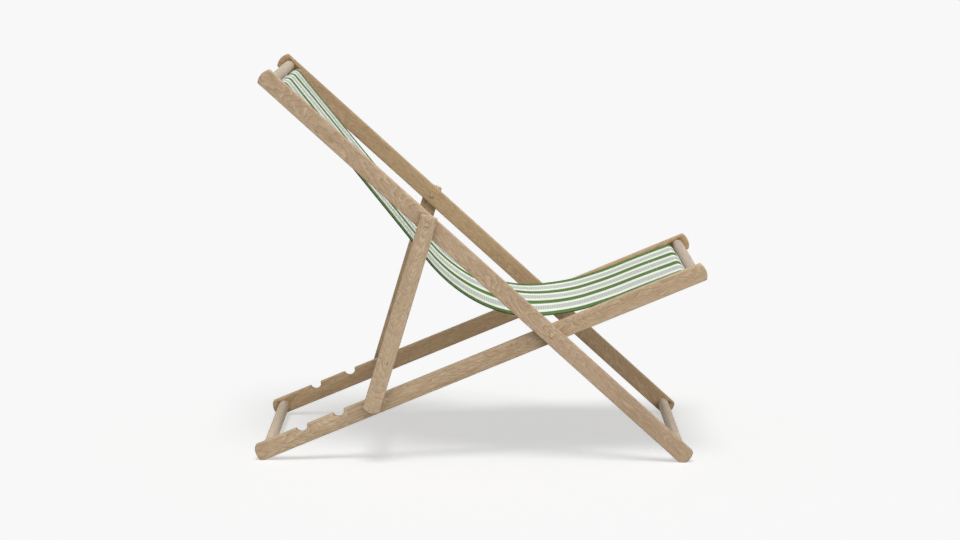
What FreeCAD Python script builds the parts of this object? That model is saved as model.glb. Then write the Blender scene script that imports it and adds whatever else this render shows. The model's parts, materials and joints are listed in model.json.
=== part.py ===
import FreeCAD, Part
import math
import os
import re

import Sketcher

# Folding sling chair. +X is the way the sitter faces, +Y the sitter's left, +Z up.
# The seat frame and the back frame cross on a pivot bolt at each side. A prop frame hangs from the
# back rails, outside them, and its bar drops into one of the notches in the seat rails.
# The cloth sling hangs between a rod at the top of the back frame and a rod at the front of the seat.

doc = FreeCAD.newDocument("cabana_chair")

# Driving sizes, in millimetres.
SIZES = {
    # Section and ends of every rail and prop leg.
    "rail_width": 41,
    "rail_thickness": 21,
    "end_crown": 7,
    "corner_round": 3,
    "edge_ease": 1.6,
    # Rail lengths, measured from the main pivot.
    "back_top_reach": 910.5,
    "back_foot_reach": 443.5,
    "seat_rear_reach": 758,
    "seat_front_reach": 393.5,
    # How much of each foot's lower corner is sawn flat to the floor.
    "back_foot_cut": 4.5,
    "seat_foot_cut": 2,
    # Clear width between the seat rails, and the gap between one layer of rails and the next.
    "seat_width": 464,
    "side_gap": 2,
    # Round bars that tie the rails together, in blind sockets.
    "bar_diameter": 27,
    "bar_inset": 29,
    "socket_depth": 12,
    "socket_clearance": 0.1,
    # Prop frame: pivot on the back rail, bar in a notch, and what stands past each.
    "prop_pivot_reach": 394,
    "prop_bar_reach": 435,
    "prop_top_margin": 21.5,
    "prop_top_crown": 1.5,
    "prop_foot_margin": 32,
    # Notches in the upper edge of the seat rails; the bar rests in the foremost.
    "notch_reach": 443,
    "notch_pitch": 94.7,
    "notch_count": 3,
    "notch_clearance": 0.4,
    # Rods in the hems of the sling.
    "rod_diameter": 24,
    "rod_gap": 1,
    # Sling: a straight run from each rod into one round hollow.
    "sling_width": 440,
    "sling_thickness": 2,
    "sling_slack": 0.3,
    "hollow_radius": 345,
    "hollow_height": 44,
    "hollow_setback": 23,
    # Pivot bolts, washers and cap nuts.
    "bolt_diameter": 6,
    "bolt_clearance": 0.1,
    "bolt_play": 0.2,
    "head_diameter": 10,
    "head_height": 2.6,
    "head_bevel": 1.3,
    "washer_diameter": 18,
    "nut_diameter": 11,
    "nut_height": 6,
    "nut_depth": 4,
}

# Sizes that follow from those above.
RULES = {
    "half_width": "rail_width / 2",
    "end_radius": "(half_width ^ 2 + end_crown ^ 2) / (2 * end_crown)",
    "prop_top_radius": "(half_width ^ 2 + prop_top_crown ^ 2) / (2 * prop_top_crown)",
    "bar_radius": "bar_diameter / 2",
    "rod_radius": "rod_diameter / 2",
    "socket_radius": "bar_radius + socket_clearance",
    "rod_socket_radius": "rod_radius + socket_clearance",
    "notch_radius": "bar_radius + notch_clearance",
    "bolt_radius": "bolt_diameter / 2",
    "bolt_hole_radius": "bolt_radius + bolt_clearance",
    "washer_thickness": "side_gap - bolt_play",
    "prop_foot_reach": "prop_bar_reach + prop_foot_margin",
    # Layers across the chair, from the middle plane out.
    "seat_inner": "seat_width / 2",
    "seat_outer": "seat_inner + rail_thickness",
    "back_inner": "seat_outer + side_gap",
    "back_outer": "back_inner + rail_thickness",
    "prop_inner": "back_outer + side_gap",
    "prop_outer": "prop_inner + rail_thickness",
    # The prop closes a triangle, which sets the angle between the two frames.
    "bar_distance": "sqrt(notch_reach ^ 2 + half_width ^ 2)",
    "pivot_corner": "acos((prop_pivot_reach ^ 2 + bar_distance ^ 2 - prop_bar_reach ^ 2)"
                    " / (2 * prop_pivot_reach * bar_distance))",
    "frame_angle": "pivot_corner + atan(half_width / notch_reach)",
    # Both pairs of feet stand on the floor, which sets the tilt of the frames.
    "seat_corner": "seat_rear_reach - end_crown",
    "back_corner": "back_foot_reach - end_crown",
    "tilt_run": "seat_corner + back_corner * cos(frame_angle) - half_width * sin(frame_angle)",
    "tilt_rise": "back_corner * sin(frame_angle) + half_width * cos(frame_angle) - half_width",
    "seat_tilt": "atan(tilt_rise / tilt_run)"
                 " - asin((back_foot_cut - seat_foot_cut) / sqrt(tilt_run ^ 2 + tilt_rise ^ 2))",
    "back_tilt": "frame_angle - seat_tilt",
    "prop_tilt": "seat_tilt + asin((prop_pivot_reach * sin(frame_angle) - half_width) / prop_bar_reach)",
    "pivot_x": "(seat_rear_reach - seat_front_reach) / 2 * cos(seat_tilt)",
    "pivot_z": "seat_corner * sin(seat_tilt) + half_width * cos(seat_tilt) - seat_foot_cut",
    # Sling rods stand just inside the end bars.
    "hem_inner": "rod_radius + sling_slack",
    "hem_outer": "hem_inner + sling_thickness",
    "rod_inset": "bar_inset + bar_radius + rod_gap + hem_outer",
    "hollow_outer": "hollow_radius + sling_thickness",
    "hollow_centre": "hollow_height + hollow_radius",
}

sheet = doc.addObject("Spreadsheet::Sheet", "sizes")
for row, (alias, number) in enumerate(SIZES.items(), start=1):
    sheet.set("A%d" % row, alias)
    sheet.set("B%d" % row, str(number))
    sheet.setAlias("B%d" % row, alias)
for row, (alias, rule) in enumerate(RULES.items(), start=1):
    sheet.set("D%d" % row, alias)
    sheet.set("E%d" % row, "=" + rule)
    sheet.setAlias("E%d" % row, alias)
doc.recompute()

WORD = re.compile("[a-z_]+")


def sheet_word(found):
    word = found[0]
    return "sizes." + word if word in SIZES or word in RULES else word


def bound(text):
    """An expression for an object, from words of the sheet."""
    return WORD.sub(sheet_word, text)


def value(text):
    """The present value of an expression, as a plain number."""
    result = sheet.evalExpression(bound(text))
    return float(getattr(result, "Value", result))


def bind(obj, prop, text):
    obj.setExpression(prop, bound(text))


def minus(text):
    return "-1 * ( %s )" % text


# Places in the chair, as a pair of expressions for X and Z.


def on_back(along, across):
    """A point on the back frame: along towards the foot, across towards the sitter."""
    x = "pivot_x + ( %s ) * cos( back_tilt ) + ( %s ) * sin( back_tilt )" % (along, across)
    z = "pivot_z - ( %s ) * sin( back_tilt ) + ( %s ) * cos( back_tilt )" % (along, across)
    return x, z


def on_seat(along, across):
    """A point on the seat frame: along towards the front, across towards the sitter."""
    x = "pivot_x + ( %s ) * cos( seat_tilt ) - ( %s ) * sin( seat_tilt )" % (along, across)
    z = "pivot_z + ( %s ) * sin( seat_tilt ) + ( %s ) * cos( seat_tilt )" % (along, across)
    return x, z


MAIN_PIVOT = ("pivot_x", "pivot_z")
PROP_PIVOT = on_back("0 - prop_pivot_reach", "0")
PROP_BAR = on_seat("0 - notch_reach", "half_width")
TOP_BAR = ("0 - back_top_reach + bar_inset", "0")
FOOT_BAR = ("back_foot_reach - bar_inset", "0")
TOP_ROD = ("0 - back_top_reach + rod_inset", "0")
REAR_BAR = ("0 - seat_rear_reach + bar_inset", "0")
FRONT_BAR = ("seat_front_reach - bar_inset", "0")
FRONT_ROD = ("seat_front_reach - rod_inset", "0")

SIDES = {"right": -1, "left": 1}

# Axes to turn pieces about, each with a positive angle.
NOSE_UP = FreeCAD.Vector(0, -1, 0)
NOSE_DOWN = FreeCAD.Vector(0, 1, 0)
LAY_ALONG_Y = FreeCAD.Vector(-1, 0, 0)
UPRIGHT = FreeCAD.Vector(0, 0, 1)


def place(obj, x, y, z, axis, angle):
    """Put an object at a point, turned about a fixed axis by an angle, both bound to the sheet."""
    turn = FreeCAD.Rotation(axis, value(angle))
    obj.Placement = FreeCAD.Placement(FreeCAD.Vector(value(x), value(y), value(z)), turn)
    bind(obj, "Placement.Base.x", x)
    bind(obj, "Placement.Base.y", y)
    bind(obj, "Placement.Base.z", z)
    bind(obj, "Placement.Rotation.Angle", angle)


def new_sketch(body, name, role, lift=None):
    """A sketch on one of the body's own planes, moved along the plane's normal by lift."""
    sketch = body.newObject("Sketcher::SketchObject", name)
    plane = [feature for feature in body.Origin.OriginFeatures if feature.Role == role][0]
    sketch.AttachmentSupport = (plane, "")
    sketch.MapMode = "FlatFace"
    if lift:
        bind(sketch, "AttachmentOffset.Base.z", lift)
    return sketch


def dimension(sketch, kind, *where, size):
    """A driving dimension of a sketch, bound to the sheet."""
    index = sketch.addConstraint(Sketcher.Constraint(kind, *where, value(size)))
    bind(sketch, "Constraints[%d]" % index, size)


def locate(sketch, geometry, point, across, up):
    """Fix a point of a sketch by its distances from the sketch's origin."""
    for kind, size in (("DistanceX", across), ("DistanceY", up)):
        if value(size) < 0:
            dimension(sketch, kind, geometry, point, -1, 1, size=minus(size))
        else:
            dimension(sketch, kind, -1, 1, geometry, point, size=size)


# Names of the rise and the radius of the arc at a rail's end.
END_ARC = ("end_crown", "end_radius")
PROP_TOP_ARC = ("prop_top_crown", "prop_top_radius")


def rail_outline(sketch, back_end, front_end, front_arc):
    """A straight rail along the sketch's X axis with a convex arc at each end."""
    half = value("half_width")
    front_radius = value(front_arc[1])
    back_radius = value(END_ARC[1])
    front_span = math.asin(half / front_radius)
    back_span = math.asin(half / back_radius)
    front_x = value(front_end) - front_radius
    back_x = back_radius - value(back_end)
    front_reach = front_x + front_radius * math.cos(front_span)
    back_reach = back_x - back_radius * math.cos(back_span)
    normal = FreeCAD.Vector(0, 0, 1)
    corner = {
        "front_low": FreeCAD.Vector(front_reach, -half, 0),
        "front_top": FreeCAD.Vector(front_reach, half, 0),
        "back_top": FreeCAD.Vector(back_reach, half, 0),
        "back_low": FreeCAD.Vector(back_reach, -half, 0),
    }
    low = sketch.addGeometry(Part.LineSegment(corner["back_low"], corner["front_low"]))
    front_circle = Part.Circle(FreeCAD.Vector(front_x, 0, 0), normal, front_radius)
    front = sketch.addGeometry(Part.ArcOfCircle(front_circle, -front_span, front_span))
    top = sketch.addGeometry(Part.LineSegment(corner["front_top"], corner["back_top"]))
    back_circle = Part.Circle(FreeCAD.Vector(back_x, 0, 0), normal, back_radius)
    back = sketch.addGeometry(Part.ArcOfCircle(back_circle, math.pi - back_span, math.pi + back_span))
    for first, second in ((low, front), (front, top), (top, back), (back, low)):
        sketch.addConstraint(Sketcher.Constraint("Coincident", first, 2, second, 1))
    sketch.addConstraint(Sketcher.Constraint("Horizontal", low))
    sketch.addConstraint(Sketcher.Constraint("Horizontal", top))
    dimension(sketch, "DistanceY", -1, 1, top, 1, size="half_width")
    dimension(sketch, "DistanceY", low, 1, -1, 1, size="half_width")
    for arc, names in ((front, front_arc), (back, END_ARC)):
        sketch.addConstraint(Sketcher.Constraint("PointOnObject", arc, 3, -1))
        dimension(sketch, "Radius", arc, size=names[1])
    dimension(sketch, "DistanceX", -1, 1, front, 2, size="%s - %s" % (front_end, front_arc[0]))
    dimension(sketch, "DistanceX", back, 1, -1, 1, size="%s - %s" % (back_end, END_ARC[0]))


def dress(body, kind, name, base, edges, prop, size):
    """Round or bevel some edges of a feature."""
    feature = body.newObject("PartDesign::" + kind, name)
    feature.Base = (base, edges)
    bind(feature, prop, size)
    doc.recompute()
    return feature


def edges_where(shape, test):
    return ["Edge%d" % (i + 1) for i, edge in enumerate(shape.Edges) if test(edge.BoundBox)]


def add_cut(body, name, holes, side, depth=None):
    """Round cuts square to a rail's faces: blind ones start at the inner face, others go through."""
    inner_is_far = SIDES[side] > 0
    lift = "rail_thickness" if depth and inner_is_far else None
    sketch = new_sketch(body, name + "_sketch", "XZ_Plane", lift)
    for along, across, radius in holes:
        centre = FreeCAD.Vector(value(along), value(across), 0)
        circle = sketch.addGeometry(Part.Circle(centre, FreeCAD.Vector(0, 0, 1), value(radius)))
        dimension(sketch, "Radius", circle, size=radius)
        locate(sketch, circle, 3, along, across)
    doc.recompute()
    before = body.Shape.Volume
    pocket = body.newObject("PartDesign::Pocket", name)
    pocket.Profile = sketch
    pocket.Reversed = lift is None
    if depth:
        pocket.Type = "Length"
        bind(pocket, "Length", depth)
    else:
        pocket.Type = "ThroughAll"
    doc.recompute()
    if body.Shape.Volume >= before:
        raise RuntimeError("%s cuts nothing" % name)
    return pocket


def add_notches(body, name):
    """A row of half-round notches in the upper edge of a seat rail."""
    row = [("0 - notch_reach", "half_width", "notch_radius")]
    notch = add_cut(body, name, row, "right")
    pattern = body.newObject("PartDesign::LinearPattern", name + "_row")
    pattern.Originals = [notch]
    pattern.Direction = (notch.Profile[0], ["H_Axis"])
    pattern.Reversed = True
    bind(pattern, "Occurrences", "notch_count")
    bind(pattern, "Length", "notch_pitch * ( notch_count - 1 )")
    body.Tip = pattern
    doc.recompute()


def rail_body(label, side, inner, outer, origin, axis, angle, back_end, front_end, front_arc=END_ARC):
    """One rail lying along its own X axis, with eased edges, turned into its place in the chair."""
    body = doc.addObject("PartDesign::Body", label + "_body")
    sketch = new_sketch(body, label + "_outline", "XZ_Plane")
    rail_outline(sketch, back_end, front_end, front_arc)
    pad = body.newObject("PartDesign::Pad", label + "_pad")
    pad.Profile = sketch
    bind(pad, "Length", "rail_thickness")
    doc.recompute()
    thickness = value("rail_thickness")
    corners = edges_where(pad.Shape, lambda box: box.YLength > thickness / 2)
    rounded = dress(body, "Fillet", label + "_corners", pad, corners, "Radius", "corner_round")
    rims = edges_where(rounded.Shape, lambda box: box.YLength < thickness / 2)
    dress(body, "Chamfer", label + "_rims", rounded, rims, "Size", "edge_ease")
    face = minus(inner) if SIDES[side] < 0 else outer
    place(body, origin[0], face, origin[1], axis, angle)
    return body


floor = doc.addObject("Part::Box", "floor_block")
bind(floor, "Length", "( back_top_reach + seat_rear_reach ) * 2")
bind(floor, "Width", "prop_outer * 4")
bind(floor, "Height", "rail_width * 2")
place(floor, minus("back_top_reach + seat_rear_reach"), minus("prop_outer * 2"), minus("rail_width * 2"),
      UPRIGHT, "0")

parts = []


def keep(obj, label):
    obj.Label = label
    parts.append(obj)


def stand_on_floor(body, label):
    """A rail with the lower corner of its foot sawn flat at floor level."""
    rail = doc.addObject("Part::Cut", label)
    rail.Base = body
    rail.Tool = floor
    keep(rail, label)


def back_rail(side):
    label = "back_rail_" + side
    body = rail_body(label, side, "back_inner", "back_outer", MAIN_PIVOT, NOSE_DOWN, "back_tilt",
                     "back_top_reach", "back_foot_reach")
    sockets = [(*TOP_BAR, "socket_radius"), (*FOOT_BAR, "socket_radius"),
               (*TOP_ROD, "rod_socket_radius")]
    add_cut(body, label + "_sockets", sockets, side, "socket_depth")
    pivots = [("0", "0", "bolt_hole_radius"), ("0 - prop_pivot_reach", "0", "bolt_hole_radius")]
    add_cut(body, label + "_pivots", pivots, side)
    stand_on_floor(body, label)


def seat_rail(side):
    label = "seat_rail_" + side
    body = rail_body(label, side, "seat_inner", "seat_outer", MAIN_PIVOT, NOSE_UP, "seat_tilt",
                     "seat_rear_reach", "seat_front_reach")
    sockets = [(*REAR_BAR, "socket_radius"), (*FRONT_BAR, "socket_radius"),
               (*FRONT_ROD, "rod_socket_radius")]
    add_cut(body, label + "_sockets", sockets, side, "socket_depth")
    add_cut(body, label + "_pivot", [("0", "0", "bolt_hole_radius")], side)
    add_notches(body, label + "_notches")
    stand_on_floor(body, label)


def prop_leg(side):
    label = "prop_leg_" + side
    body = rail_body(label, side, "prop_inner", "prop_outer", PROP_PIVOT, NOSE_UP, "prop_tilt",
                     "prop_foot_reach", "prop_top_margin", PROP_TOP_ARC)
    add_cut(body, label + "_socket", [("0 - prop_bar_reach", "0", "socket_radius")], side, "socket_depth")
    add_cut(body, label + "_pivot", [("0", "0", "bolt_hole_radius")], side)
    keep(body, label)


def cylinder(name, radius, start, length, where):
    """A round bar along Y, from start towards the sitter's left."""
    solid = doc.addObject("Part::Cylinder", name)
    bind(solid, "Radius", radius)
    bind(solid, "Height", length)
    place(solid, where[0], start, where[1], LAY_ALONG_Y, "90")
    return solid


def cross_bar(label, radius, inner, where):
    """A bar from the floor of one rail's socket to the floor of the other's."""
    reach = "( %s + socket_depth )" % inner
    keep(cylinder(label, radius, minus(reach), reach + " * 2", where), label)


def ring(label, outer, bore, start, length, where):
    """A washer or a plain sleeve."""
    tube = doc.addObject("Part::Cut", label)
    tube.Base = cylinder(label + "_disc", outer, start, length, where)
    tube.Tool = cylinder(label + "_bore", bore, start, length, where)
    keep(tube, label)


def outward(side, near, far):
    """Start of a span across the chair, given how far out its inner and its outer end lie."""
    return near if SIDES[side] > 0 else minus(far)


def bolt(label, seat_face, length, where, head_side):
    """A pan-headed bolt along Y, its head towards head_side, seat_face under the head."""
    body = doc.addObject("PartDesign::Body", label)
    sketch = new_sketch(body, label + "_profile", "XY_Plane")
    shank = value("bolt_radius")
    rim = value("head_diameter / 2")
    crown = value("head_height")
    bevel = value("head_bevel")
    outline = [
        FreeCAD.Vector(0, crown, 0),
        FreeCAD.Vector(0, -value(length), 0),
        FreeCAD.Vector(shank, -value(length), 0),
        FreeCAD.Vector(shank, 0, 0),
        FreeCAD.Vector(rim, 0, 0),
        FreeCAD.Vector(rim, crown - bevel, 0),
        FreeCAD.Vector(rim - bevel, crown, 0),
    ]
    sides = zip(outline, outline[1:] + outline[:1])
    lines = [sketch.addGeometry(Part.LineSegment(*ends)) for ends in sides]
    axis, tip, side, seat, edge, slope, crest = lines
    for first, second in zip(lines, lines[1:] + lines[:1]):
        sketch.addConstraint(Sketcher.Constraint("Coincident", first, 2, second, 1))
    for line in (tip, crest):
        sketch.addConstraint(Sketcher.Constraint("Horizontal", line))
    for line in (side, edge):
        sketch.addConstraint(Sketcher.Constraint("Vertical", line))
    for line, point, on in ((axis, 1, -2), (axis, 2, -2), (seat, 1, -1), (seat, 2, -1)):
        sketch.addConstraint(Sketcher.Constraint("PointOnObject", line, point, on))
    dimension(sketch, "DistanceX", -1, 1, seat, 1, size="bolt_radius")
    dimension(sketch, "DistanceX", -1, 1, seat, 2, size="head_diameter / 2")
    dimension(sketch, "DistanceY", -1, 1, axis, 1, size="head_height")
    dimension(sketch, "DistanceY", axis, 2, -1, 1, size=length)
    dimension(sketch, "DistanceX", slope, 2, slope, 1, size="head_bevel")
    dimension(sketch, "DistanceY", slope, 1, slope, 2, size="head_bevel")
    doc.recompute()
    spin = body.newObject("PartDesign::Revolution", label + "_turned")
    spin.Profile = sketch
    spin.ReferenceAxis = (sketch, ["V_Axis"])
    spin.Angle = 360
    place(body, where[0], seat_face, where[1], LAY_ALONG_Y, "0" if head_side > 0 else "180")
    keep(body, label)


def pivot(name, side, point, head, nut, shank, washer):
    """Bolt with its head outside two rails, a washer between them and a cap nut inside."""
    sign = SIDES[side]
    bolt(name + "_bolt_" + side, head if sign > 0 else minus(head), shank, point, sign)
    ring(name + "_washer_" + side, "washer_diameter / 2", "bolt_hole_radius", outward(side, *washer),
         "washer_thickness", point)
    cap = doc.addObject("Part::Cut", name + "_nut_" + side)
    block = doc.addObject("Part::Prism", name + "_nut_block_" + side)
    block.Polygon = 6
    bind(block, "Circumradius", "nut_diameter / 2")
    bind(block, "Height", "nut_height")
    place(block, point[0], outward(side, nut + " - nut_height", nut), point[1], LAY_ALONG_Y, "90")
    cap.Base = block
    cap.Tool = cylinder(name + "_nut_bore_" + side, "bolt_hole_radius",
                        outward(side, nut + " - nut_depth", nut), "nut_depth", point)
    keep(cap, name + "_nut_" + side)


def main_pivot(side):
    """The seat rail holds the bolt, and the back rail turns on it."""
    pivot("main_pivot", side, MAIN_PIVOT, "back_outer + bolt_play", "seat_inner",
          "back_outer + bolt_play - seat_inner + nut_depth", ("seat_outer", "seat_outer + washer_thickness"))


def prop_pivot(side):
    """The prop leg holds the bolt, and turns with it in the back rail."""
    pivot("prop_pivot", side, PROP_PIVOT, "prop_outer", "back_inner - bolt_play",
          "prop_outer - back_inner + bolt_play + nut_depth", ("prop_inner - washer_thickness", "prop_inner"))


def from_pivot(point):
    """The same point, measured from the main pivot."""
    return "%s - pivot_x" % point[0], "%s - pivot_z" % point[1]


def sling():
    """A strip of cloth: over the top rod, down into a round hollow, up to the front rod and round it."""
    body = doc.addObject("PartDesign::Body", "sling")
    sketch = new_sketch(body, "sling_profile", "XZ_Plane")
    normal = FreeCAD.Vector(0, 0, 1)
    top_place = from_pivot(on_back(*TOP_ROD))
    front_place = from_pivot(on_seat(*FRONT_ROD))
    hollow_place = (minus("hollow_setback"), "hollow_centre")
    top = FreeCAD.Vector(value(top_place[0]), value(top_place[1]), 0)
    front = FreeCAD.Vector(value(front_place[0]), value(front_place[1]), 0)
    hollow = FreeCAD.Vector(value(hollow_place[0]), value(hollow_place[1]), 0)
    hem_in, hem_out = value("hem_inner"), value("hem_outer")
    round_in, round_out = value("hollow_radius"), value("hollow_outer")

    # Each straight run is a line with a rod below it and the hollow's centre above it.
    to_top = hollow - top
    to_front = hollow - front
    apart = round_in + hem_out
    down = math.atan2(to_top.y, to_top.x) - math.asin(apart / to_top.Length)
    rise = math.atan2(to_front.y, to_front.x) - math.pi + math.asin(apart / to_front.Length)
    lap = math.acos(hem_in / hem_out)

    def around(centre, radius, angle):
        return centre + FreeCAD.Vector(math.cos(angle), math.sin(angle), 0) * radius

    left, right = down + math.pi / 2, rise + math.pi / 2
    low_left, low_right = left + math.pi, right + math.pi

    def line(start, end):
        return sketch.addGeometry(Part.LineSegment(start, end))

    def arc(centre, radius, start, end):
        return sketch.addGeometry(Part.ArcOfCircle(Part.Circle(centre, normal, radius), start, end))

    upper_back = line(around(top, hem_out, left), around(hollow, round_in, low_left))
    upper_round = arc(hollow, round_in, low_left, low_right)
    upper_seat = line(around(hollow, round_in, low_right), around(front, hem_out, right))
    front_hem = arc(front, hem_out, right + lap, right + 2 * math.pi)
    lower_seat = line(around(front, hem_out, right + lap), around(hollow, round_out, low_right))
    lower_round = arc(hollow, round_out, low_left, low_right)
    lower_back = line(around(hollow, round_out, low_left), around(top, hem_out, left - lap))
    top_hem = arc(top, hem_out, left, left - lap + 2 * math.pi)
    top_bore = sketch.addGeometry(Part.Circle(top, normal, hem_in))
    front_bore = sketch.addGeometry(Part.Circle(front, normal, hem_in))

    smooth = ((upper_back, 1, top_hem, 1), (upper_back, 2, upper_round, 1),
              (upper_round, 2, upper_seat, 1), (upper_seat, 2, front_hem, 2),
              (lower_seat, 2, lower_round, 2), (lower_round, 1, lower_back, 1))
    for ends in smooth:
        sketch.addConstraint(Sketcher.Constraint("Tangent", *ends))
    meet = ((front_hem, 1, lower_seat, 1), (lower_back, 2, top_hem, 2), (lower_round, 3, upper_round, 3),
            (top_bore, 3, top_hem, 3), (front_bore, 3, front_hem, 3))
    for ends in meet:
        sketch.addConstraint(Sketcher.Constraint("Coincident", *ends))
    sketch.addConstraint(Sketcher.Constraint("Tangent", lower_seat, front_bore))
    sketch.addConstraint(Sketcher.Constraint("Tangent", lower_back, top_bore))
    sizes = ((upper_round, "hollow_radius"), (lower_round, "hollow_outer"), (top_hem, "hem_outer"),
             (front_hem, "hem_outer"), (top_bore, "hem_inner"), (front_bore, "hem_inner"))
    for curve, size in sizes:
        dimension(sketch, "Radius", curve, size=size)
    for curve, spot in ((upper_round, hollow_place), (top_hem, top_place), (front_hem, front_place)):
        locate(sketch, curve, 3, *spot)
    doc.recompute()
    pad = body.newObject("PartDesign::Pad", "sling_cloth")
    pad.Profile = sketch
    bind(pad, "Length", "sling_width")
    place(body, MAIN_PIVOT[0], "sling_width / 2", MAIN_PIVOT[1], UPRIGHT, "0")
    keep(body, "sling")


for side in SIDES:
    back_rail(side)
    seat_rail(side)
    prop_leg(side)
    main_pivot(side)
    prop_pivot(side)
cross_bar("back_top_bar", "bar_radius", "back_inner", on_back(*TOP_BAR))
cross_bar("back_foot_bar", "bar_radius", "back_inner", on_back(*FOOT_BAR))
cross_bar("back_sling_rod", "rod_radius", "back_inner", on_back(*TOP_ROD))
cross_bar("seat_rear_bar", "bar_radius", "seat_inner", on_seat(*REAR_BAR))
cross_bar("seat_front_bar", "bar_radius", "seat_inner", on_seat(*FRONT_BAR))
cross_bar("seat_sling_rod", "rod_radius", "seat_inner", on_seat(*FRONT_ROD))
cross_bar("prop_bar", "bar_radius", "prop_inner", PROP_BAR)
sling()
doc.recompute()

for obj in doc.Objects:
    if "Invalid" in obj.State or "Error" in obj.State:
        raise RuntimeError("%s did not build" % obj.Label)
for part in parts:
    if part.Shape.isNull() or not part.Shape.isValid() or len(part.Shape.Solids) != 1:
        raise RuntimeError("%s is not one sound solid" % part.Label)

os.makedirs("parts", exist_ok=True)
for part in parts:
    part.Shape.exportStep("parts/%s.step" % part.Label)

print("angle between the frames %.2f degrees" % value("frame_angle"))
print("seat tilt %.2f, back tilt %.2f, prop tilt %.2f degrees"
      % (value("seat_tilt"), value("back_tilt"), value("prop_tilt")))
print("main pivot at x %.2f, z %.2f" % (value("pivot_x"), value("pivot_z")))
print("prop pivot at x %.2f, z %.2f" % (value(PROP_PIVOT[0]), value(PROP_PIVOT[1])))
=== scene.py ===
import json
import math

import bpy
import numpy as np
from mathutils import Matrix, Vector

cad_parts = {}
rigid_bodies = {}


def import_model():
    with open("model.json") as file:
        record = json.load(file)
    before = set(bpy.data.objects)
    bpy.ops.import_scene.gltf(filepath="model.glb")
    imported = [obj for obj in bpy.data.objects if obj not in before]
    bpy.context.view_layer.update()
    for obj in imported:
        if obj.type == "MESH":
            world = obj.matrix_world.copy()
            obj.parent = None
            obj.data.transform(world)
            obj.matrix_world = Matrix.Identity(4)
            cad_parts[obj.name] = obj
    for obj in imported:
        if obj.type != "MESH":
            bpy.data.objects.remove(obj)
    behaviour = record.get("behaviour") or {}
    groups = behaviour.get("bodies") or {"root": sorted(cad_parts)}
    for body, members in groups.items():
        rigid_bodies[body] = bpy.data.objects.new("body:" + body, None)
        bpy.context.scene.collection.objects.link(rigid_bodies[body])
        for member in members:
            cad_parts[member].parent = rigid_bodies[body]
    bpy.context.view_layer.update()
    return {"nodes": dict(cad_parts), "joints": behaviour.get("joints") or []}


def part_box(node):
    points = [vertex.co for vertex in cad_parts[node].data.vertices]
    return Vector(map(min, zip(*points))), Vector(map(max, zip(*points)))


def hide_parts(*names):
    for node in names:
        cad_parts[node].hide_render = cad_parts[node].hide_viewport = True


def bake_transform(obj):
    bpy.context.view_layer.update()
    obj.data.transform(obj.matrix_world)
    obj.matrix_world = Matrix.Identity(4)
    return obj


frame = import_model()
nodes = frame["nodes"]

# Where the frames cross, and how far each set of rails leans from level, in degrees.
joints = {joint["name"]: joint["pos_m"] for joint in frame["joints"]}
MAIN_PIVOT = joints["frame_fold"]
PROP_PIVOT = joints["prop_swing"]
SEAT_LEAN, BACK_LEAN, PROP_LEAN = 22.538, -42.367, 73.174


def middle(node):
    low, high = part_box(node)
    return np.array((low + high) / 2)


def srgb(red, green, blue):
    """A colour given in screen values from 0 to 255, as linear light."""
    def linear(part):
        part /= 255
        return part / 12.92 if part <= 0.04045 else ((part + 0.055) / 1.055) ** 2.4
    return linear(red), linear(green), linear(blue), 1.0


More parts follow.
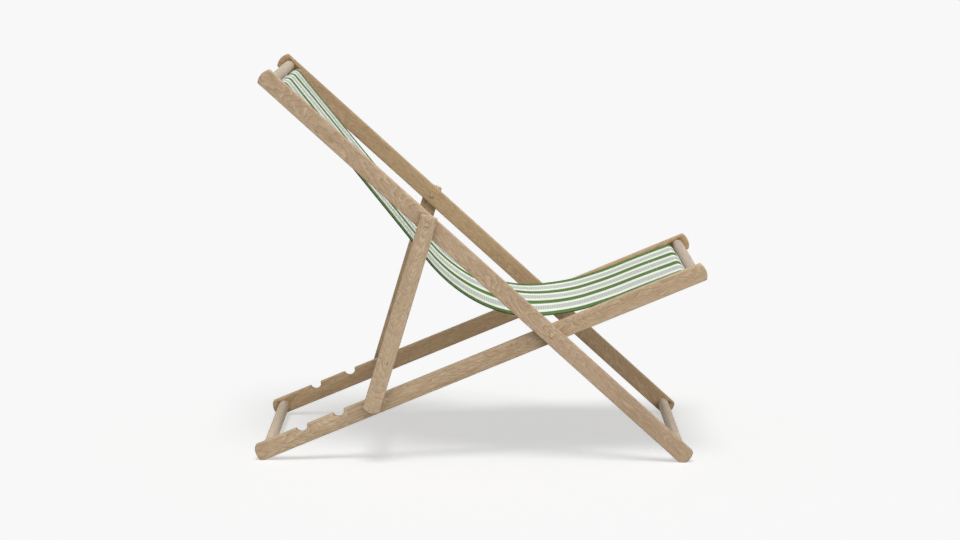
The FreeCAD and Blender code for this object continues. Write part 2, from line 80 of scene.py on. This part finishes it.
class Shader:
    """A material, or the world, and short ways to add nodes to it."""

    def __init__(self, name, owners=bpy.data.materials):
        self.material = owners.new(name)
        self.material.use_nodes = True
        self.tree = self.material.node_tree
        self.surface = self.tree.nodes.get("Principled BSDF")

    def feed(self, socket, value):
        if isinstance(value, bpy.types.NodeSocket):
            self.tree.links.new(value, socket)
        else:
            socket.default_value = value

    def node(self, kind, *values, **settings):
        made = self.tree.nodes.new("ShaderNode" + kind)
        for key, value in settings.items():
            setattr(made, key, value)
        for socket, value in zip(made.inputs, values):
            self.feed(socket, value)
        return made

    def math(self, operation, *values):
        return self.node("Math", *values, operation=operation).outputs[0]

    def vector(self, operation, *values):
        return self.node("VectorMath", *values, operation=operation).outputs[0]

    def size(self, vector):
        return self.node("VectorMath", vector, operation="LENGTH").outputs["Value"]

    def split(self, vector):
        return self.node("SeparateXYZ", vector).outputs[:3]

    def join(self, x, y, z):
        return self.node("CombineXYZ", x, y, z).outputs[0]

    def object_place(self):
        return self.node("TexCoord").outputs["Object"]

    def noise(self, vector, scale=1.0, detail=2.0, rough=0.5):
        made = self.node("TexNoise", vector)
        made.inputs["Scale"].default_value = scale
        made.inputs["Detail"].default_value = detail
        made.inputs["Roughness"].default_value = rough
        return made.outputs["Fac"]

    def between(self, value, low, high):
        """A value from 0 to 1, brought to the range from low to high."""
        return self.math("MULTIPLY_ADD", value, high - low, low)

    def about(self, value, span):
        """A value from 0 to 1, as a spread of this span about 0."""
        return self.math("MULTIPLY_ADD", value, span, -span / 2)

    def step(self, value, low, high):
        """0 below low, 1 above high, smooth between."""
        made = self.node("MapRange", value, low, high, interpolation_type="SMOOTHSTEP")
        return made.outputs[0]

    def fall(self, value, low, high):
        """1 below low, 0 above high, smooth between."""
        return self.math("SUBTRACT", 1.0, self.step(value, low, high))

    def band(self, value, rise, fall):
        """1 between two soft edges, each given by where it starts and ends."""
        return self.math("MULTIPLY", self.step(value, *rise), self.fall(value, *fall))

    def repeat(self, value, pitch):
        """How far through its current repeat a value is, from 0 to 1."""
        return self.math("FRACT", self.math("DIVIDE", value, pitch))

    def ramp(self, value, *stops):
        made = self.node("ValToRGB", value)
        points = made.color_ramp.elements
        while len(points) < len(stops):
            points.new(0.5)
        for point, (where, colour) in zip(points, stops):
            point.position = where
            point.color = colour
        return made.outputs[0]

    def mix(self, share, first, second, blend="MIX"):
        made = self.node("Mix", data_type="RGBA", blend_type=blend)
        self.feed(made.inputs[0], share)
        self.feed(made.inputs[6], first)
        self.feed(made.inputs[7], second)
        return made.outputs[2]

    def shaded(self, colour, shade):
        return self.mix(1.0, colour, self.join(shade, shade, shade), "MULTIPLY")

    def bump(self, height, depth, strength):
        made = self.node("Bump")
        made.inputs["Strength"].default_value = strength
        made.inputs["Distance"].default_value = depth
        self.feed(made.inputs["Height"], height)
        self.feed(self.surface.inputs["Normal"], made.outputs[0])

    def seen(self):
        """1 where the camera looks, straight or in a gloss, and 0 for light on the object."""
        path = self.node("LightPath").outputs
        gloss = self.math("MAXIMUM", path["Is Glossy Ray"], path["Is Transmission Ray"])
        return self.math("MAXIMUM", path["Is Camera Ray"], gloss)

    def set(self, **values):
        for name, value in values.items():
            self.feed(self.surface.inputs[name.replace("_", " ")], value)

    def end(self, shader, output):
        self.tree.links.new(shader.outputs[0], self.tree.nodes[output].inputs[0])


# Oak: the spacing of its rings in metres, and by how many rings that spacing drifts.
RING_PITCH = 0.0024
RING_DRIFT = 2.2
# Where the rub on a rail's corners starts and is full, up and across its section.
RUB_UP = 0.0170, 0.0203
RUB_ACROSS = 0.0072, 0.0103
# Painted shade: a rail is painted darker toward the floor, by this factor at the floor, and without
# it from this height up.
PAINTED_FLOOR_SHADE = 0.89
SHADE_FREE_HEIGHT = 0.6

# Light, middle and dark wood, an open pore and a limed one.
RAIL_TONES = (srgb(198, 174, 144), srgb(176, 150, 119), srgb(140, 112, 82),
              srgb(112, 87, 61), srgb(220, 202, 176))
# Painted shade: a darker, redder copy of the rail tones for the far side's pieces, which sit in
# shade.
FAR_SHADE_TONES = (srgb(188, 163, 129), srgb(165, 139, 105), srgb(131, 104, 73),
              srgb(106, 82, 56), srgb(208, 188, 157))
BAR_TONES = (srgb(186, 169, 148), srgb(175, 157, 134), srgb(152, 132, 107),
             srgb(128, 107, 83), srgb(199, 185, 166))


def turned(point, lean=None):
    """Rotation and shift that bring a rail or a bar to the X axis, with point at the origin."""
    if lean is None:
        angles = (0, 0, math.radians(-90))
        spin = np.array([[0, 1, 0], [-1, 0, 0], [0, 0, 1]])
    else:
        angle = math.radians(lean)
        angles = (0, angle, 0)
        cos, sin = math.cos(angle), math.sin(angle)
        spin = np.array([[cos, 0, sin], [0, 1, 0], [-sin, 0, cos]])
    return angles, tuple(-spin @ np.array(point))


def painted_light_tones(tones, red, green, blue):
    """Painted light and shade: the same wood, each tone scaled a little lighter, darker or redder
    for how much light falls on the piece.
    """
    return tuple((tone[0] * red, tone[1] * green, tone[2] * blue, 1.0) for tone in tones)


def oak(name, point, lean, pith, climb, seed, tones, rail=True):
    """Limed oak with the grain along a rail or bar.

    pith is where the tree's heart lies across and up the section, and climb is how fast the
    piece runs out of the rings, which gives the arched figure on its faces."""
    s = Shader(name)
    angles, shift = turned(point, lean)
    whole = s.object_place()
    place = s.node("Mapping", whole, shift, angles).outputs[0]
    along, across, up = s.split(place)
    moved = s.vector("ADD", place, (seed * 1.37, seed * 0.71, seed * 0.43))

    def stretched(length, width):
        return s.vector("MULTIPLY", moved, (1 / length, 1 / width, 1 / width))

    # Rings round the pith, which sway along the wood and ripple.
    sway = s.about(s.noise(stretched(0.30, 0.10), detail=2), 0.046)
    ripple = s.about(s.noise(stretched(0.034, 0.012), detail=3), 0.0050)
    deep = s.math("ADD", s.math("MULTIPLY_ADD", along, climb, across), -pith[0])
    deep = s.math("ADD", s.math("ADD", deep, sway), ripple)
    high = s.math("ADD", s.math("ADD", up, -pith[1]), s.math("MULTIPLY", sway, 0.6))
    far = s.size(s.join(0.0, deep, high))
    drift = s.noise(s.join(far, seed, 0.0), scale=90, detail=1)
    count = s.math("MULTIPLY", far, 1 / RING_PITCH)
    ring = s.math("FRACT", s.math("MULTIPLY_ADD", drift, RING_DRIFT, count))

    # Marks along the grain, each by its length and width in metres.
    light, mid, dark, pit, chalk = tones
    broad = s.noise(stretched(0.35, 0.05), detail=3)
    patch = s.noise(stretched(0.055, 0.016), detail=3)
    fibre = s.noise(stretched(0.020, 0.0010), detail=3, rough=0.65)
    fleck = s.noise(stretched(0.019, 0.0026), detail=2, rough=0.6)
    streak = s.noise(s.vector("ADD", stretched(0.024, 0.0022), (3.1, 7.7, 5.3)), detail=1)
    pore = s.noise(stretched(0.012, 0.0010), detail=1)
    early = s.fall(ring, 0.08, 0.42)
    pores = s.math("MULTIPLY", s.step(pore, 0.55, 0.66), s.between(early, 0.2, 1.0))
    limed = s.step(patch, 0.40, 0.60)

    figure = s.ramp(ring, (0.0, light), (0.22, light), (0.42, mid), (0.72, mid),
                    (0.88, dark), (1.0, dark))
    even = s.ramp(broad, (0.3, mid), (0.72, light))
    colour = s.mix(s.between(patch, 0.05, 0.75), even, figure)
    shade = s.math("MULTIPLY", s.between(fibre, 0.80, 1.20), s.between(broad, 0.89, 1.11))
    shade = s.math("MULTIPLY", s.between(fleck, 0.69, 1.31), shade)
    colour = s.shaded(colour, shade)
    colour = s.mix(s.math("MULTIPLY", pores, 0.75), colour, s.mix(limed, pit, chalk))
    colour = s.mix(s.math("MULTIPLY", s.step(streak, 0.60, 0.72), 0.5), colour, chalk)
    if rail:
        corner = s.math("MULTIPLY", s.step(s.math("ABSOLUTE", up), *RUB_UP),
                        s.step(s.math("ABSOLUTE", across), *RUB_ACROSS))
        worn = s.step(s.noise(stretched(0.05, 0.03), detail=3), 0.3, 0.7)
        rubbed = s.math("MULTIPLY", corner, worn)
        colour = s.mix(s.math("MULTIPLY", rubbed, 0.2), colour, chalk)
        # Painted shade: the colour darkens toward the floor, where shade falls.
        shade_free = s.step(s.split(whole)[2], 0.0, SHADE_FREE_HEIGHT)
        colour = s.shaded(colour, s.between(shade_free, PAINTED_FLOOR_SHADE, 1.0))
    rough = s.math("MULTIPLY_ADD", pores, 0.12, s.between(fibre, 0.5, 0.66))
    s.set(Base_Color=colour, Roughness=rough, Specular_IOR_Level=0.32)
    height = s.math("SUBTRACT", s.math("MULTIPLY", fibre, 0.35), pores)
    height = s.math("MULTIPLY_ADD", s.step(ring, 0.7, 0.9), 0.3, height)
    s.bump(height, 0.00035, 0.8)
    return s.material


def dress(node, material):
    data = nodes[node].data
    data.materials.clear()
    data.materials.append(material)


def smooth(data):
    data.polygons.foreach_set("use_smooth", [True] * len(data.polygons))


def ease(node):
    """Eased edges read as rounded: flat faces keep their normals, and bevels blend between."""
    target = nodes[node]
    smooth(target.data)
    weld = target.modifiers.new("weld", "WELD")
    weld.merge_threshold = 1e-5
    soft = target.modifiers.new("soft_edges", "WEIGHTED_NORMAL")
    soft.mode = "FACE_AREA"
    soft.weight = 100
    soft.keep_sharp = False


def rails():
    runs = {"back_rail": (MAIN_PIVOT, BACK_LEAN), "seat_rail": (MAIN_PIVOT, SEAT_LEAN),
            "prop_leg": (PROP_PIVOT, PROP_LEAN)}
    # Pith across and up, climb, which stretch of wood, its tones, and its level of painted light
    # and shade.
    boards = {
        "back_rail_right": ((0.024, 0.006), 0.07, 1.0, RAIL_TONES, (0.875, 0.86, 0.86)),
        "back_rail_left": ((0.026, -0.006), -0.08, 2.3, FAR_SHADE_TONES, (0.82, 0.77, 0.73)),
        "seat_rail_right": ((0.022, 0.012), 0.06, 3.1, RAIL_TONES, (0.91, 0.90, 0.88)),
        "seat_rail_left": ((-0.026, 0.010), 0.07, 4.7, FAR_SHADE_TONES, (0.97, 0.92, 0.87)),
        "prop_leg_right": ((0.020, 0.001), 0.16, 5.9, RAIL_TONES, (0.89, 0.89, 0.89)),
        "prop_leg_left": ((0.024, -0.006), -0.12, 6.4, FAR_SHADE_TONES, (0.95, 0.92, 0.90)),
    }
    for node, (pith, climb, seed, tones, light_level) in boards.items():
        pivot, lean = runs[node.rsplit("_", 1)[0]]
        point = (pivot[0], middle(node)[1], pivot[2])
        dress(node, oak("oak_" + node, point, lean, pith, climb, seed, painted_light_tones(tones, *light_level)))
        ease(node)


def bars():
    # Painted light and shade: each bar's tones are scaled for how much light falls on it.
    light_levels = {
        "back_top_bar": (0.90, 0.91, 0.88),
        "back_foot_bar": (1, 1, 1),
        "seat_front_bar": (0.83, 0.82, 0.84),
        "seat_rear_bar": (1.05, 1.04, 1.03),
        "prop_bar": (1, 1, 1),
        "back_sling_rod": (1, 1, 1),
        "seat_sling_rod": (1, 1, 1),
    }
    climb, sharp = 0.03, math.radians(40)
    for number, (node, light_level) in enumerate(light_levels.items()):
        pith = (0.03 + 0.004 * number, 0.018 - 0.006 * number)
        seed = 8.0 + 1.3 * number
        tones = painted_light_tones(BAR_TONES, *light_level)
        dress(node, oak("oak_" + node, middle(node), None, pith, climb, seed, tones, False))
        smooth(nodes[node].data)
        nodes[node].data.set_sharp_from_angle(angle=sharp)


def metal(name, colour, pivot):
    """Plated metal with faint turning marks round a pivot."""
    s = Shader(name)
    place = s.node("Mapping", s.object_place(), (-pivot[0], 0, -pivot[2])).outputs[0]
    x, _, z = s.split(place)
    out = s.size(s.join(x, 0.0, z))
    marks = s.noise(s.join(out, 0.0, 0.0), scale=4200, detail=1)
    smear = s.noise(place, scale=260, detail=3)
    rough = s.math("MULTIPLY_ADD", smear, 0.25, s.between(marks, 0.42, 0.54))
    dull = tuple(0.86 * part for part in colour[:3]) + (1,)
    tint = s.ramp(smear, (0.3, dull), (0.75, colour))
    s.set(Base_Color=tint, Metallic=1.0, Roughness=rough)
    s.bump(marks, 0.00004, 0.6)
    return s.material


def nylon(name):
    s = Shader(name)
    cloud = s.noise(s.object_place(), scale=420, detail=3)
    tint = s.ramp(cloud, (0.3, srgb(206, 200, 188)), (0.7, srgb(224, 219, 208)))
    s.set(Base_Color=tint, Roughness=s.between(cloud, 0.4, 0.6))
    s.bump(cloud, 0.00005, 0.5)
    return s.material


def hardware():
    for name, pivot in (("main_pivot", MAIN_PIVOT), ("prop_pivot", PROP_PIVOT)):
        steel = metal("steel_" + name, srgb(172, 152, 125), pivot)
        plastic = nylon("nylon_" + name)
        for side in ("left", "right"):
            dress(name + "_bolt_" + side, steel)
            dress(name + "_nut_" + side, steel)
            dress(name + "_washer_" + side, plastic)


# Sling, in metres: half its width, the cloth's thickness, and its loop's radius round a rod.
HALF = 0.220
CLOTH = 0.0012
LOOP = 0.0133
# Where the flap behind a loop meets the cloth again, and where it ends, from the rod.
FLAP_START, FLAP_END = 0.038, 0.058
FLAP_GAP = 0.00008
# The sewn hem at each side: its width, how soft its edge is, and how much it thickens the cloth.
HEM = 0.014
HEM_EDGE = 0.0006
HEM_DEPTH = 0.0010
# The round hollow of the seat, seen from the side, and where along the run it is deepest.
HOLLOW_RADIUS = 0.346
HOLLOW = np.array([MAIN_PIVOT[0] - 0.023, MAIN_PIVOT[2] + 0.389])
HOLLOW_PLACE, HOLLOW_BREADTH = 0.37, 0.12
# Points round a loop, back to the cloth, along the flap, on each run, in the hollow and across.
LOOP_POINTS, CURVE_POINTS, FLAP_POINTS = 44, 20, 8
SEAT_POINTS, HOLLOW_POINTS, BACK_POINTS, ACROSS_POINTS = 48, 100, 110, 43


def around_rod(rod, run):
    """The cloth's line from where it meets a rod, round it, and back along its own underside."""
    side = np.array(run)
    up = np.array([-side[1], side[0]])
    if up[1] < 0:
        up = -up
    turn = np.radians(np.linspace(90, 290, LOOP_POINTS))
    loop = np.stack([np.cos(turn), np.sin(turn)], 1) * LOOP
    lead = np.array([-math.sin(turn[-1]), math.cos(turn[-1])])
    leave, land = loop[-1], np.array([FLAP_START, LOOP - CLOTH - FLAP_GAP])
    pull, settle = leave + lead * 0.011, land - np.array([0.013, 0])
    t = np.linspace(0, 1, CURVE_POINTS)[1:, None]
    curve = leave * (1 - t) ** 3 + 3 * pull * t * (1 - t) ** 2
    curve = curve + 3 * settle * t * t * (1 - t) + land * t ** 3
    rest = np.linspace(FLAP_START, FLAP_END, FLAP_POINTS)[1:]
    flap = np.stack([rest, np.full_like(rest, land[1])], 1)
    flat = np.concatenate([loop, curve, flap])
    return rod + flat[:, :1] * side + flat[:, 1:] * up


def sling_line():
    """The sling seen from the side, from the front hem to the top hem.

    Gives its points in X and Z, and the rows where the open run starts and ends."""
    front = middle("seat_sling_rod")[[0, 2]]
    top = middle("back_sling_rod")[[0, 2]]
    to_front, to_top = HOLLOW - front, HOLLOW - top
    apart = HOLLOW_RADIUS + LOOP
    rise = math.atan2(to_front[1], to_front[0]) - math.pi
    rise += math.asin(apart / np.linalg.norm(to_front))
    fall = math.atan2(to_top[1], to_top[0]) - math.asin(apart / np.linalg.norm(to_top))
    front_loop = around_rod(front, (-math.cos(rise), -math.sin(rise)))[::-1]
    top_loop = around_rod(top, (math.cos(fall), math.sin(fall)))
    bend = np.linspace(rise - math.pi / 2, fall - math.pi / 2, HOLLOW_POINTS)
    arc = HOLLOW + HOLLOW_RADIUS * np.stack([np.cos(bend), np.sin(bend)], 1)

    def straight(start, end, count):
        return start + (end - start) * np.linspace(0, 1, count)[1:-1, None]

    seat = straight(front_loop[-1], arc[0], SEAT_POINTS)
    back = straight(arc[-1], top_loop[0], BACK_POINTS)
    line = np.concatenate([front_loop, seat, arc, back, top_loop])
    return line, len(front_loop), len(line) - len(top_loop)


def swell(value, place, breadth):
    """1 at a place, and smoothly less away from it."""
    return np.exp(-((value - place) / breadth) ** 2)


def shell_faces(rows, columns):
    """Faces of a thin shell: all its top points come first, and then those of its underside."""
    total = rows * columns
    index = np.arange(total).reshape(rows, columns).tolist()
    faces = []
    for i in range(rows - 1):
        for j in range(columns - 1):
            a, b = index[i][j], index[i][j + 1]
            d, c = index[i + 1][j], index[i + 1][j + 1]
            faces.append((a, d, c, b))
            faces.append((a + total, b + total, c + total, d + total))

    def rim(a, b, flip):
        face = (a, a + total, b + total, b)
        faces.append(face[::-1] if flip else face)

    for i in range(rows - 1):
        for j, flip in ((0, False), (columns - 1, True)):
            rim(index[i][j], index[i + 1][j], flip)
    for j in range(columns - 1):
        for i, flip in ((0, True), (rows - 1, False)):
            rim(index[i][j], index[i][j + 1], flip)
    return faces


def sling():
    line, first, last = sling_line()
    step = np.linalg.norm(np.diff(line, axis=0), axis=1)
    length = np.concatenate([[0], np.cumsum(step)])
    along = np.gradient(line, axis=0)
    along /= np.linalg.norm(along, axis=1)[:, None]
    outer = np.stack([along[:, 1], -along[:, 0]], 1)
    start, end = length[first], length[last]

    # Waves and hems die out over this length before a rod.
    calm = 0.06
    inside = np.clip((length - start) / calm, 0, 1) * np.clip((end - length) / calm, 0, 1)
    inside = inside * inside * (3 - 2 * inside)
    inside = inside[:, None]

    # The cloth is widest in the hollow and narrows toward the top.
    low = (length - start) / (end - start)
    hollow = swell(low, HOLLOW_PLACE, HOLLOW_BREADTH)
    spread = 1.012 + 0.022 * hollow - 0.066 * np.clip((low - 0.3) / 0.7, 0, 1)

    inset = [0, 0.0004, 0.0012, 0.004, 0.008, HEM - HEM_EDGE, HEM + HEM_EDGE]
    edge = HALF - np.array(inset)
    flat_half = HALF - HEM - 0.008
    inner = np.linspace(-flat_half, flat_half, ACROSS_POINTS)
    across = np.concatenate([-edge, inner, edge[::-1]])
    reach = np.abs(across) / HALF

    rows, columns = len(line), len(across)
    u = np.broadcast_to(across, (rows, columns))
    y = u * spread[:, None]
    v = np.broadcast_to(length[:, None], (rows, columns))

    # The edges droop in the hollow, and the run sags and rises a little on its way into it.
    slack = 0.0086 * hollow + 0.0035 * swell(low, 0.14, 0.09)
    droop = slack[:, None] * (reach ** 2 - 3.84 * np.clip(reach - 0.75, 0, 1) ** 2)[None, :]
    sag = 0.0020 * swell(low, 0.135, 0.045) - 0.0022 * swell(low, 0.26, 0.055)
    droop = droop + sag[:, None]

    # Broad waves, and small gathers beside each rod.
    wave = 0.0007 * np.sin(y * 17.0 + 0.7) * np.sin(v * 11.0 + 1.1)
    wave = wave + 0.0005 * np.sin(y * 41.0 - v * 5.0) * np.sin(v * 7.3 + 0.4)
    front_gather = np.sin(y * 190.0 + 2.0 * np.sin(y * 37.0)) * swell(length, start, 0.05)[:, None]
    top_gather = np.sin(y * 170.0 + np.sin(y * 51.0)) * swell(length, end, 0.06)[:, None]
    lift = (wave + 0.0006 * (front_gather + top_gather)) * inside

    hem = np.clip((np.abs(across) - (HALF - HEM)) / HEM_EDGE, 0, 1)
    hem = HEM_DEPTH * hem[None, :] * inside
    roll = np.where(reach > 0.9995, 0.00028, 0.0)[None, :]

    def layer(offset):
        x = line[:, :1] + outer[:, :1] * (lift + offset)
        z = line[:, 1:] + outer[:, 1:] * (lift + offset) - droop
        return np.stack([x, y, z], 2).reshape(-1, 3)

    points = np.concatenate([layer(CLOTH / 2 - roll), layer(-CLOTH / 2 - hem + roll)])
    data = bpy.data.meshes.new("sling_cloth")
    data.from_pydata(points.tolist(), [], shell_faces(rows, columns))
    data.validate()
    where = np.tile(np.stack([u.reshape(-1), v.reshape(-1) - start], 1), (2, 1))
    loops = np.zeros(len(data.loops), int)
    data.loops.foreach_get("vertex_index", loops)
    layer_uv = data.uv_layers.new(name="cloth")
    layer_uv.data.foreach_set("uv", where[loops].reshape(-1).astype(np.float32))
    smooth(data)
    piece = bpy.data.objects.new("sling_cloth", data)
    bpy.context.scene.collection.objects.link(piece)
    data.materials.append(canvas(end - start))
    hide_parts("sling")
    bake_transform(piece)


# Canvas, in metres: its green and white stripes, how often they repeat, and how soft an edge is.
GREEN, WHITE, REPEAT, STRIPE_EDGE = 0.042, 0.0255, 0.137, 0.0006
# Spacing of the grey ladder's rungs, of the threads and of the stitches.
RUNG_PITCH, THREAD_PITCH, STITCH_PITCH = 0.0056, 0.0009, 0.0036
# How far a seam lies from the side hem's fold line and from a flap's ends.
SIDE_SEAM, FLAP_SEAM = 0.0025, 0.004


def canvas(run):
    """Striped canvas: four green stripes, and between them a grey ladder stripe on white."""
    s = Shader("striped_canvas")
    u, v, _ = s.split(s.node("UVMap", uv_map="cloth").outputs[0])
    place = s.join(u, v, 0.0)
    reach = s.math("ABSOLUTE", u)

    def soft(line):
        return line - STRIPE_EDGE, line + STRIPE_EDGE

    fray = s.about(s.noise(place, scale=900, detail=2), 2 * STRIPE_EDGE)
    stripe = s.repeat(s.math("ADD", u, 1.5 * REPEAT + GREEN / 2), REPEAT)
    stripe = s.math("MULTIPLY_ADD", stripe, REPEAT, fray)
    green = s.fall(stripe, *soft(GREEN))
    grey = s.band(stripe, soft(GREEN + WHITE), soft(REPEAT - WHITE))
    rung = s.band(s.repeat(v, RUNG_PITCH), (0.08, 0.22), (0.56, 0.7))

    warp, weft = (s.math("SINE", s.math("MULTIPLY", part, 2 * math.pi / THREAD_PITCH))
                  for part in (u, v))
    weave = s.math("MULTIPLY", warp, weft)
    slub = s.noise(s.vector("MULTIPLY", place, (1400.0, 60.0, 1.0)), detail=2)
    cloud = s.noise(place, scale=16, detail=4)

    white = s.ramp(slub, (0.25, srgb(220, 224, 211)), (0.75, srgb(234, 237, 225)))
    ladder = s.mix(rung, srgb(194, 199, 191), srgb(168, 176, 169))
    leaf = s.ramp(slub, (0.2, srgb(55, 89, 20)), (0.8, srgb(78, 115, 32)))
    colour = s.mix(grey, white, ladder)
    colour = s.mix(green, colour, leaf)
    # Painted shade: the side edge is painted dark, as in shadow, and the last of the hem shades
    # into it.
    side = s.step(reach, HALF - 0.0009, HALF - 0.0003)
    hem_shade = s.math("MULTIPLY", s.step(reach, HALF - 0.012, HALF), 0.5)
    colour = s.mix(s.math("MAXIMUM", side, hem_shade), colour, srgb(44, 74, 34))

    def seam(value, line, other):
        off = s.math("ABSOLUTE", s.math("SUBTRACT", value, line))
        dash = s.band(s.repeat(other, STITCH_PITCH), (0.05, 0.2), (0.72, 0.9))
        return s.math("MULTIPLY", s.fall(off, 0.00035, 0.0007), dash)

    on_run = s.band(v, (0.0, 0.002), (run - 0.002, run))
    stitch = s.math("MULTIPLY", seam(reach, HALF - HEM + SIDE_SEAM, v), on_run)
    inner, outer = FLAP_START + FLAP_SEAM, FLAP_END - FLAP_SEAM
    for line in (inner, outer, run - inner, run - outer):
        stitch = s.math("MAXIMUM", stitch, seam(v, line, u))
    colour = s.mix(s.math("MULTIPLY", stitch, 0.3), colour, srgb(236, 234, 222))
    shade = s.math("MULTIPLY_ADD", weave, 0.05, s.between(cloud, 0.925, 1.025))
    s.set(Base_Color=s.shaded(colour, shade), Specular_IOR_Level=0.18,
          Roughness=s.math("MULTIPLY_ADD", weave, 0.05, 0.84),
          Sheen_Weight=0.07, Sheen_Roughness=0.5)
    height = s.math("MULTIPLY_ADD", stitch, 1.6, s.math("MULTIPLY", weave, 0.5))
    height = s.math("MULTIPLY_ADD", slub, 0.5, height)
    s.bump(height, 0.00022, 0.8)
    return s.material


# Studio: the floor's half size, its depth under the feet in metres, its tone and its glow.
FLOOR_REACH, FLOOR_DEPTH = 120, -0.0003
FLOOR_TONE, FLOOR_GLOW = 0.80, 0.4935
# Light from all round, and the pale wall that the camera sees behind the floor.
AMBIENT, WALL = 0.19, 0.939
# Lamps: name, strength, spread in degrees, and tilt from straight down.
LAMPS = (
    ("floor", 1.2, 25, (16, 0, 0)),
    ("overhead", 1.3, 52, (6, 0, 0)),
    ("front", 2.8, 84, (50, 0, 19)),
    ("fill", 0.78, 90, (-84, 0, 24)),
)
# Camera, fitted to the photo: lens and sensor in mm, place in metres, and degrees it looks down.
LENS, SENSOR = 86.9, 36
CAMERA_PLACE, CAMERA_PITCH = (0.0004, -5.618, 1.3279), 9.21
PLAIN_WHITE = (1, 1, 1, 1)


def neutral(tone):
    return tone, tone, tone, 1


def make_floor(scene):
    ground = bpy.data.meshes.new("floor")
    corners = ((-1, -1), (1, -1), (1, 1), (-1, 1))
    points = [(x * FLOOR_REACH, y * FLOOR_REACH, FLOOR_DEPTH) for x, y in corners]
    ground.from_pydata(points, [], [(0, 1, 2, 3)])
    floor = bpy.data.objects.new("floor", ground)
    scene.collection.objects.link(floor)
    s = Shader("floor")
    s.tree.nodes.remove(s.surface)
    matt = s.node("BsdfDiffuse", neutral(FLOOR_TONE))
    glow = s.node("Emission", PLAIN_WHITE, s.math("MULTIPLY", s.seen(), FLOOR_GLOW))
    s.end(s.node("AddShader", matt.outputs[0], glow.outputs[0]), "Material Output")
    ground.materials.append(s.material)
    return floor


def make_lamps(scene, floor):
    """One lamp lights the floor and throws its shadow, and the others light the chair alone.

    The front light comes through the cloth, which keeps the wood under the seat from going dark."""
    on_floor = bpy.data.collections.new("lit_floor")
    on_floor.objects.link(floor)
    on_chair = bpy.data.collections.new("lit_chair")
    opaque = bpy.data.collections.new("opaque")
    for piece in scene.objects:
        if piece.type == "MESH" and piece is not floor:
            on_chair.objects.link(piece)
            if piece.name != "sling_cloth":
                opaque.objects.link(piece)
    for name, strength, spread, tilt in LAMPS:
        data = bpy.data.lights.new(name, "SUN")
        data.energy = strength
        data.angle = math.radians(spread)
        lamp = bpy.data.objects.new(name, data)
        lamp.rotation_euler = [math.radians(part) for part in tilt]
        scene.collection.objects.link(lamp)
        lamp.light_linking.receiver_collection = on_floor if name == "floor" else on_chair
        if name == "front":
            lamp.light_linking.blocker_collection = opaque


def studio():
    """A pale floor and wall, soft light from above and from the sides, and the camera."""
    scene = bpy.context.scene
    floor = make_floor(scene)
    s = Shader("studio", bpy.data.worlds)
    around = s.node("Background", PLAIN_WHITE, AMBIENT)
    behind = s.node("Background", neutral(WALL), 1.0)
    either = s.node("MixShader", s.seen(), around.outputs[0], behind.outputs[0])
    s.end(either, "World Output")
    scene.world = s.material
    make_lamps(scene, floor)

    data = bpy.data.cameras.new("camera")
    data.lens = LENS
    data.sensor_width = SENSOR
    camera = bpy.data.objects.new("camera", data)
    camera.location = CAMERA_PLACE
    camera.rotation_euler = (math.radians(90 - CAMERA_PITCH), 0, 0)
    scene.collection.objects.link(camera)
    scene.camera = camera
    scene.view_settings.view_transform = "Standard"


rails()
bars()
hardware()
sling()
studio()
